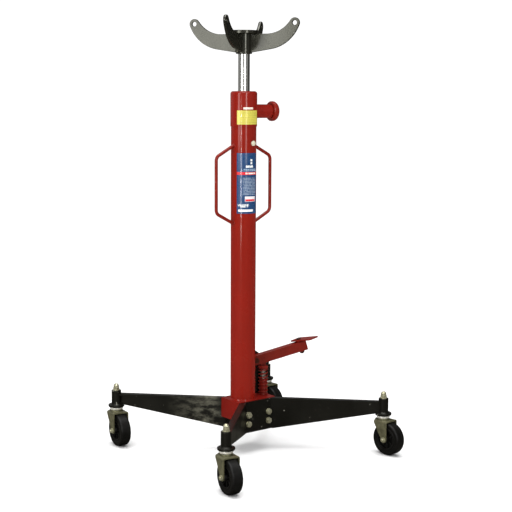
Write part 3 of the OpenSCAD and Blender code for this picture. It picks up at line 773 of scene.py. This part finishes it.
def saddle_centre():
    """The hub, and the disc on it with a low rim."""
    bore, top = SPIGOT_R + FIT, HUB_Z + HUB_H
    Shape().turned([(bore, HUB_Z), (HUB_R, HUB_Z), (HUB_R, top), (0, top), (0, top - 1), (bore, top - 1)],
                   [0.5, 1.2, 0, 0, 0, 0], 128).piece(
        "saddle_hub_body", "saddle", SADDLE_BLACK, "saddle_black", ["saddle_hub"])
    face = top + DISC_H
    Shape().turned([(0, top), (DISC_R, top), (DISC_R, face), (DISC_R - 5, face),
                    (DISC_R - 6, face - 1.2), (0, face - 1.2)], [0, 1, 2, 0.6, 0.6, 0], 128).piece(
        "saddle_plate", "saddle", SADDLE_BLACK, "saddle_black", ["saddle_disc"])


def angle_from(centre, point):
    return math.degrees(math.atan2(point[1] - centre[1], point[0] - centre[0]))


def arm_outline():
    """One arm in its own plane, from the hub out to its round tip."""
    outer, outer_r = (67.0, 122.0), 110.0
    inner, inner_r = (71.0, 144.5), 86.5
    toe = (HUB_R - 0.6, 3.6)
    gap = math.hypot(toe[0] - outer[0], toe[1] - outer[1])
    start = angle_from(outer, toe) + math.degrees(math.acos(outer_r / gap))
    outer_end = angle_from(outer, ARM_EYE)
    inner_start = angle_from(inner, ARM_EYE)
    tip = arc(*ARM_EYE, ARM_TIP_R, outer_end, inner_start + 180, 24)[1:-1]
    return ([toe] + arc(*outer, outer_r, start, outer_end, 40) + tip
            + arc(*inner, inner_r, inner_start, -90, 32) + [(HUB_R - 0.6, HUB_H - 0.3)])


def saddle_arm(i):
    """A flat arm with an eye in its tip, and its two weld beads on the hub."""
    place = shift(0, 0, HUB_Z) @ turn(SADDLE_YAW + 90 * i, "Z") @ turn(90, "X")
    eye = arc(*ARM_EYE, 7, 360, 0, 40)[:-1]
    arm = Shape().plate(arm_outline(), ARM_T, 1.0, [eye], place)
    heights = range(5, 57, 3)
    for y in (-4.6, 4.6):
        arm.sweep([(HUB_R + 0.1, z, y) for z in heights],
                  [1.5 + 0.3 * math.sin(z * 2.1 + i) for z in heights], 8, place)
    arm.piece(f"cradle_arm_{i + 1}", "saddle", SADDLE_BLACK, "saddle_black", [f"saddle_arm_{i + 1}"])


def hub_screw():
    """The socket screw that locks the hub on the spigot."""
    at = shift(0, 0, HUB_Z + 8) @ turn(SADDLE_YAW - 122, "Z") @ turn(90, "Y")
    screw_r, socket_r, head = 3.0, 1.6, 25.5
    Shape().spin([(0, 11), (screw_r - 0.6, 11), (screw_r, 12), (screw_r, head - 0.3), (screw_r - 0.3, head),
                  (socket_r, head), (socket_r, 23.2), (0, 23.0)], 36, at).piece(
        "hub_screw", "saddle", ZINC, "bolt_zinc", ["hub_set_screw"])


ram()
saddle_centre()
for i in range(4):
    saddle_arm(i)
hub_screw()

# ---------------------------------------------------------------- pump


def pump_barrel():
    """The barrel in the block, with a weld bead where it comes out."""
    bore, low = PLUNGER_R + FIT, 144
    Shape().turned([(bore, low), (BARREL_R, low), (BARREL_R, BLOCK_TOP - 1), (BARREL_R + 1.6, BLOCK_TOP),
                    (BARREL_R + 0.4, BLOCK_TOP + 2.5), (BARREL_R, BLOCK_TOP + 5), (BARREL_R, BARREL_TOP),
                    (bore, BARREL_TOP)], [0, 0, 0, 0.6, 0.6, 0.6, 1, 0.4], 64, ON_PUMP, True).piece(
        "barrel", "base", BLOCK_RED, "block_red", ["pump_barrel"])


def return_spring():
    """A coil spring that is wound a little closer towards its two ends."""
    low, high = BLOCK_TOP + WIRE_R, SPRING_TOP - WIRE_R
    steps, closed_share = int(SPRING_TURNS * 28), 0.9 / SPRING_TURNS
    coil = []
    for i in range(steps + 1):
        t = i / steps
        free = min(max((t - closed_share) / (1 - 2 * closed_share), 0.0), 1.0)
        a = TAU * SPRING_TURNS * t + 0.6
        coil.append((SPRING_R * math.cos(a), SPRING_R * math.sin(a),
                     low + (high - low) * (0.06 * t + 0.94 * free)))
    return Shape().sweep(coil, WIRE_R, 12, ON_PUMP).piece(
        "return_spring", "base", SPRING_RED, "spring_red", ["pump_spring"])


def plunger():
    """The plunger, from inside the barrel up to its cap."""
    low = 157
    Shape().spin([(0, low), (PLUNGER_R - 1, low), (PLUNGER_R, low + 1), (PLUNGER_R, SPRING_TOP),
                  (0, SPRING_TOP)], 64, ON_PUMP).piece(
        "plunger_bar", "plunger", CHROME, "ram_chrome", ["pump_plunger"])


pump_barrel()
spring = return_spring()
plunger()

dress("plunger_cap", SPRING_RED, 0.7)
dress("pedal_bracket", BLACK, 0.8)
dress("pivot_pin", DARK_PIN, 0.4)
dress("plunger_pin", PEDAL_RED, 0.3)
dress("pedal_lever", PEDAL_RED, 1.6)
dress("pedal_plate", PEDAL_RED, 0.9)
dress("pedal_bolt", DARK_PIN, 0.4)

# ---------------------------------------------------------------- casters


def fork_rows():
    """Rows of the fork's sheet, from a cheek's foot up to the middle: y, height, rear end and front end."""
    bend_r = 6.0
    rows = []
    for k in range(9):
        a = math.radians(90 * k / 8)
        half = EYE_R * math.sin(a)
        rows.append((FORK_SIDE, AXLE_Z - EYE_R * math.cos(a), TRAIL - half, TRAIL + half))
    for k in range(1, 13):
        z = AXLE_Z + (FORK_TOP - bend_r - AXLE_Z) * k / 12
        rise = min(1.0, (z - AXLE_Z) / (FORK_TOP - 8 - AXLE_Z))
        rows.append((FORK_SIDE, z, TRAIL - EYE_R + (EYE_R - TRAIL - FORK_TAIL) * rise, FORK_FRONT))
    for k in range(1, 7):
        a = math.radians(90 * k / 6)
        y, z = FORK_SIDE - bend_r + bend_r * math.cos(a), FORK_TOP - bend_r + bend_r * math.sin(a)
        rows.append((y, z, 0.4 - FORK_TAIL, FORK_FRONT))
    for y in (11, 7, 3.5, 0):
        rows.append((y, FORK_TOP, -math.sqrt(FORK_SIDE ** 2 - y ** 2), FORK_FRONT))
    return rows


def fork(side):
    """A pressed fork: one sheet over the top and down both cheeks, with a raised race seat."""
    place = in_caster(side)
    rows = fork_rows()
    rows += [(-y, z, rear, front) for y, z, rear, front in reversed(rows[:-1])]
    cols = 14
    points = [(rear + (front - rear) * c / cols, y, z) for y, z, rear, front in rows for c in range(cols + 1)]
    faces = []
    for row in range(len(rows) - 1):
        for c in range(cols):
            here, above = row * (cols + 1) + c, (row + 1) * (cols + 1) + c
            faces.append((here, above, above + 1, here + 1))
    sheet = Shape().add(points, faces, place).piece(
        f"fork_sheet_{side}", f"fork_{side}", GALVANISED, "fork_galvanised", [f"caster_fork_{side}"], 40)
    # A foot's lowest row is one point many times over, and a bevel needs it merged.
    sheet.modifiers.new("weld", "WELD").merge_threshold = 1e-5
    solid = sheet.modifiers.new("thickness", "SOLIDIFY")
    solid.thickness = CHEEK_T * MM
    solid.offset = -1
    round_edges(sheet, 0.7, 2, 50)

    bore, seat_r, seat_low, seat_top = STEM_R + FIT, 19.5, FORK_TOP - 1, RACE_LOW - 0.7
    seat = Shape().turned([(bore, seat_low), (seat_r, seat_low), (seat_r - 0.7, seat_top), (bore, seat_top)],
                          [0, 0, 1.5, 0.3], 64, place, True)
    half, rear, front, lining_t = CHEEK_IN + 0.5, -12, FORK_FRONT - 0.3, 3.0
    lining = filleted([(rear, -half), (front, -half), (front, half), (rear, half)], 2)
    seat.plate(lining, lining_t, 0.4, (), place @ shift(0, 0, FORK_TOP - 3.4))
    seat.piece(f"fork_seat_{side}", f"fork_{side}", GALVANISED, "fork_galvanised")


def axle(side):
    """The axle bolt, with a washer under its nut and under its head."""
    place = on_axle(side)
    washer_t, thread_end = 1.2, FORK_SIDE + 7.8
    shape = Shape().spin([(0, -FORK_SIDE - 3), (AXLE_R, -FORK_SIDE - 3), (AXLE_R, thread_end - 0.8),
                          (AXLE_R - 0.6, thread_end), (0, thread_end)], 40, place)
    for at, height, spanner in ((place, 4.4, 12), (place @ turn(180, "X"), 5.2, 25)):
        shape.washer(FORK_SIDE, 8, washer_t, 0.3, at, 40)
        shape.hex_head(13, height, at @ shift(0, 0, FORK_SIDE + washer_t) @ turn(spanner, "Z"))
    shape.piece(f"axle_bolt_{side}", f"fork_{side}", ZINC, "bolt_zinc", [f"caster_axle_{side}"])


def wheel(side):
    """A tyre with a groove beside its rim, on a ribbed centre."""
    place = on_axle(side)
    half, round_r = WHEEL_W / 2, 6.0
    groove = [(HUB_RIM + 1.5, half - 0.3), (HUB_RIM + 2.2, half - 1.0), (HUB_RIM + 3.2, half - 1.0),
              (HUB_RIM + 4.2, half - 0.2)]
    right = groove + arc(WHEEL_R - round_r - 0.04, half - round_r, round_r, 80, 0, 10)
    profile = [(HUB_RIM, -half)] + [(r, -z) for r, z in right] + right[::-1] + [(HUB_RIM, half)]
    Shape().spin(profile, 128, place, True).piece(
        f"tyre_ring_{side}", f"wheel_{side}", TYRE, "tyre_black", [f"tyre_{side}"])

    boss, boss_r, web, rim_in, lip = CHEEK_IN - 1.1, 11, 5.5, 28.5, half - 1.2
    corners = [(AXLE_R + FIT, boss), (boss_r - 1, boss), (boss_r, web), (rim_in - 1.5, web), (rim_in, lip),
               (HUB_RIM, lip)]
    radii = [0.4, 0.8, 1.5, 2, 0.8, 0]
    hub = Shape().turned([(r, -z) for r, z in corners] + corners[::-1], radii + radii[::-1], 96, place, True)
    rib, rib_t = filleted([(10.2, -11.6), (27.6, -13.0), (27.6, 13.0), (10.2, 11.6)], 0.6), 2.4
    for k in range(8):
        hub.plate(rib, rib_t, 0.5, (), place @ turn(45 * k + 11, "Z") @ turn(90, "X"))
    hub.piece(f"hub_disc_{side}", f"wheel_{side}", HUB_BLACK, "hub_plastic", [f"wheel_hub_{side}"])


for side in SIDES:
    fork(side)
    axle(side)
    wheel(side)

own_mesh(spring)

# ---------------------------------------------------------------- floor, light and camera

FAR = 40.0
floor_mesh = bpy.data.meshes.new("floor")
floor_mesh.from_pydata([(-FAR, -FAR, 0), (FAR, -FAR, 0), (FAR, FAR, 0), (-FAR, FAR, 0)], [], [(0, 1, 2, 3)])
floor = bpy.data.objects.new("floor", floor_mesh)
bpy.context.scene.collection.objects.link(floor)
g = Graph("pale_floor")
pale = g.mix(g.noise(1.5), (0.86, 0.86, 0.86, 1), (0.84, 0.84, 0.84, 1))
# Polished parts see a dark floor, as they do in the photo.
glossy = g.tree.nodes.new("ShaderNodeLightPath").outputs["Is Glossy Ray"]
floor_mesh.materials.append(g.finish(
    Base_Color=g.mix(glossy, pale, (0.09, 0.085, 0.07, 1)), Roughness=0.9, Specular_IOR_Level=0.1))


def lamp(name, azimuth, distance, height, width, tall, power, aim=0.7, sheen_only=False):
    """An area light at an azimuth from -Y towards +X, aimed at a height on the column.

    One that is sheen_only adds highlights and no diffuse light.
    """
    data = bpy.data.lights.new(name, "AREA")
    data.shape = "RECTANGLE"
    data.size, data.size_y = width, tall
    data.energy = power
    obj = bpy.data.objects.new(name, data)
    obj.visible_diffuse = not sheen_only
    a = math.radians(azimuth)
    obj.location = (distance * math.sin(a), -distance * math.cos(a), height)
    obj.rotation_mode = "QUATERNION"
    obj.rotation_quaternion = (Vector((0, 0, aim)) - obj.location).to_track_quat("-Z", "Y")
    bpy.context.scene.collection.objects.link(obj)


lamp("soft_left", -34.5, 3.2, 1.65, 1.0, 1.8, 35)
lamp("strip_left", -19, 3.4, 1.9, 0.1, 1.3, 6)
lamp("sheen_strip", -13.5, 3.4, 0.62, 0.08, 0.75, 15, aim=0.62, sheen_only=True)
lamp("sheen_right", 31, 3.3, 1.6, 0.62, 1.8, 24, sheen_only=True)
lamp("strip_right", 31, 3.2, 1.75, 0.25, 1.6, 8)
lamp("top_soft", 20, 1.2, 4.0, 4.0, 4.0, 60)

sun_data = bpy.data.lights.new("floor_sun", "SUN")
sun_data.energy = 2.3
sun_data.angle = math.radians(40)
bpy.context.scene.collection.objects.link(bpy.data.objects.new("floor_sun", sun_data))

world = bpy.data.worlds.new("studio")
bpy.context.scene.world = world
world.use_nodes = True
tree = world.node_tree
back = tree.nodes["Background"]
back.inputs["Color"].default_value = (1, 1, 1, 1)
rays = tree.nodes.new("ShaderNodeLightPath")
heading = tree.nodes.new("ShaderNodeSeparateXYZ")
tree.links.new(tree.nodes.new("ShaderNodeTexCoord").outputs["Generated"], heading.inputs[0])


def world_math(operation, *values):
    n = tree.nodes.new("ShaderNodeMath")
    n.operation = operation
    for k, v in enumerate(values):
        if isinstance(v, bpy.types.NodeSocket):
            tree.links.new(v, n.inputs[k])
        else:
            n.inputs[k].default_value = v
    return n.outputs[0]


# What polished parts see round the room, from behind (-180) past the front (0) to behind again, in degrees.
angle = world_math("ARCTAN2", heading.outputs[0], world_math("MULTIPLY", heading.outputs[1], -1.0))
ramp = tree.nodes.new("ShaderNodeValToRGB")
tree.links.new(world_math("MULTIPLY_ADD", angle, 1 / TAU, 0.5), ramp.inputs[0])
ROOM = ((-180, 0.10), (-150, 0.40), (-95, 0.42), (-75, 0.10), (-55, 0.10), (-42, 0.5), (-30, 0.6),
        (-12, 0.42), (18, 0.42), (30, 0.5), (42, 0.16), (52, 0.18), (64, 0.38), (76, 0.38), (90, 0.16),
        (108, 0.03))
for k, (at, level) in enumerate(ROOM):
    stop = ramp.color_ramp.elements[k] if k < 2 else ramp.color_ramp.elements.new(0.5 + at / 360)
    stop.position = 0.5 + at / 360
    stop.color = (level, level, level, 1)
AMBIENT, BACKDROP = 0.62, 1.1
total = world_math("MULTIPLY", rays.outputs["Is Glossy Ray"], ramp.outputs[0])
total = world_math("MULTIPLY_ADD", rays.outputs["Is Diffuse Ray"], AMBIENT, total)
total = world_math("MULTIPLY_ADD", rays.outputs["Is Camera Ray"], BACKDROP, total)
tree.links.new(total, back.inputs["Strength"])

view = bpy.context.scene.view_settings
view.view_transform = "Standard"
view.look = "None"

# The photo's own camera, solved from the column, collar, ram, legs and casters. Pixels, metres, radians.
LENS_PX, PHOTO_PX, SENSOR = 1170.74, 512, 36.0
EYE = (0.4614, -3.4751, 1.0705)
HEAD, PITCH, ROLL = 0.121, 0.133, 0.005
camera = bpy.data.objects.new("camera", bpy.data.cameras.new("camera"))
bpy.context.scene.collection.objects.link(camera)
camera.data.sensor_width = SENSOR
camera.data.lens = LENS_PX / PHOTO_PX * SENSOR
camera.data.clip_end = 200
camera.location = EYE
ahead = Vector((-math.sin(HEAD) * math.cos(PITCH), math.cos(HEAD) * math.cos(PITCH), -math.sin(PITCH)))
camera.rotation_mode = "QUATERNION"
camera.rotation_quaternion = ahead.to_track_quat("-Z", "Y") @ Matrix.Rotation(ROLL, 3, "Z").to_quaternion()
bpy.context.scene.camera = camera
